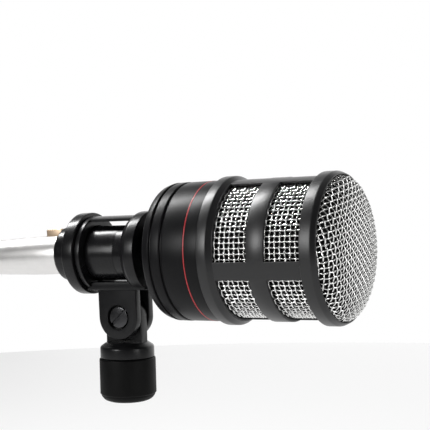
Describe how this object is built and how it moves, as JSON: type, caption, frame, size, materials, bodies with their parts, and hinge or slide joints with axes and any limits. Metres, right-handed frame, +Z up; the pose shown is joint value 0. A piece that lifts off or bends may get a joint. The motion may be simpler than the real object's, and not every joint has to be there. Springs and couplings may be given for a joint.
{
  "type": "ribbon microphone",
  "caption": "End-address ribbon microphone: windowed wire-mesh basket, turned body and neck in a tilting stand swivel with a threaded collar, and a latching cable plug in its socket.",
  "frame": {"origin": "centre of the stand collar's bottom face, on the collar's own axis", "axes": "+Z up along the stand collar, +X the way the microphone points, +Y to its left"},
  "size_m": [0.2172, 0.068, 0.1075],
  "materials": {
    "basket_paint": "satin black baked enamel",
    "body_paint": "satin black baked enamel",
    "wire_mesh": "bright woven steel wire",
    "foam": "black open-cell acoustic foam",
    "accent_red": "red, semi-gloss",
    "neck_plastic": "semi-gloss moulded black",
    "swivel_plastic": "semi-gloss moulded black",
    "collar_plastic": "matt moulded black",
    "nickel": "satin nickel plate",
    "latch_metal": "satin nickel plate, rubbed",
    "insulator": "black moulded insulator",
    "brass": "machined brass",
    "dark_steel": "blackened steel",
    "aluminium": "machined aluminium and foil",
    "magnet": "nickel-plated",
    "rubber": "matt black rubber",
    "copper": "enamelled copper winding",
    "board": "glass-fibre board",
    "washer_fibre": "black fibre",
    "wire_skin": "red insulated hook-up wire"
  },
  "bodies": {
    "collar": {"thread_collar": "collar_plastic", "thread_insert": "brass"},
    "adapter": {"stand_barrel": "swivel_plastic", "collar_clip": "dark_steel", "friction_washer_near": "washer_fibre", "friction_washer_far": "washer_fibre"},
    "microphone": {"basket_cage": "basket_paint", "front_bezel": "basket_paint", "side_mesh": "wire_mesh", "dome_mesh": "wire_mesh", "foam_side": "foam", "foam_front": "foam", "body_shell": "body_paint", "accent_ring": "accent_red", "back_plate": "body_paint", "chassis": "aluminium", "motor_frame": "aluminium", "return_yoke": "dark_steel", "pole_piece_left": "dark_steel", "pole_piece_right": "dark_steel", "magnet_left": "magnet", "magnet_right": "magnet", "ribbon_foil": "aluminium", "ribbon_clamp_top": "aluminium", "ribbon_clamp_bottom": "aluminium", "clamp_screw_top": "brass", "clamp_screw_bottom": "brass", "motor_isolator_1": "rubber", "motor_isolator_2": "rubber", "motor_isolator_3": "rubber", "motor_isolator_4": "rubber", "transformer_core": "dark_steel", "transformer_coil": "copper", "transformer_can": "magnet", "terminal_board": "board", "lead_wire_1": "wire_skin", "lead_wire_2": "wire_skin", "lead_wire_3": "wire_skin", "neck_tube": "neck_plastic", "retaining_ring": "neck_plastic", "socket_cup": "nickel", "socket_insert": "insulator", "socket_pin_1": "nickel", "socket_pin_2": "nickel", "socket_pin_3": "nickel", "swivel_cage": "swivel_plastic", "pivot_screw": "dark_steel", "pivot_nut": "dark_steel"},
    "plug": {"plug_barrel": "nickel", "plug_insert": "insulator", "plug_contact_1": "brass", "plug_contact_2": "brass", "plug_contact_3": "brass", "plug_boot": "rubber"},
    "latch": {"plug_latch": "latch_metal"}
  },
  "joints": [
    {"name": "collar_spin", "type": "hinge", "parent": "collar", "child": "adapter", "pos_m": [0, 0, 0], "axis": [0, 0, 1], "continuous": true},
    {"name": "swivel_tilt", "type": "hinge", "parent": "adapter", "child": "microphone", "pos_m": [0, 0, 0.04055], "axis": [0, 1, 0], "range_deg": [-73, 58]},
    {"name": "plug_pull", "type": "slide", "parent": "microphone", "child": "plug", "axis": [-0.9998, 0, -0.0209], "range_m": [0, 0.03]},
    {"name": "latch_press", "type": "slide", "parent": "plug", "child": "latch", "axis": [0.0471, 0, -0.9989], "range_m": [0, 0.0012], "stiffness_N_per_m": 300}
  ]
}
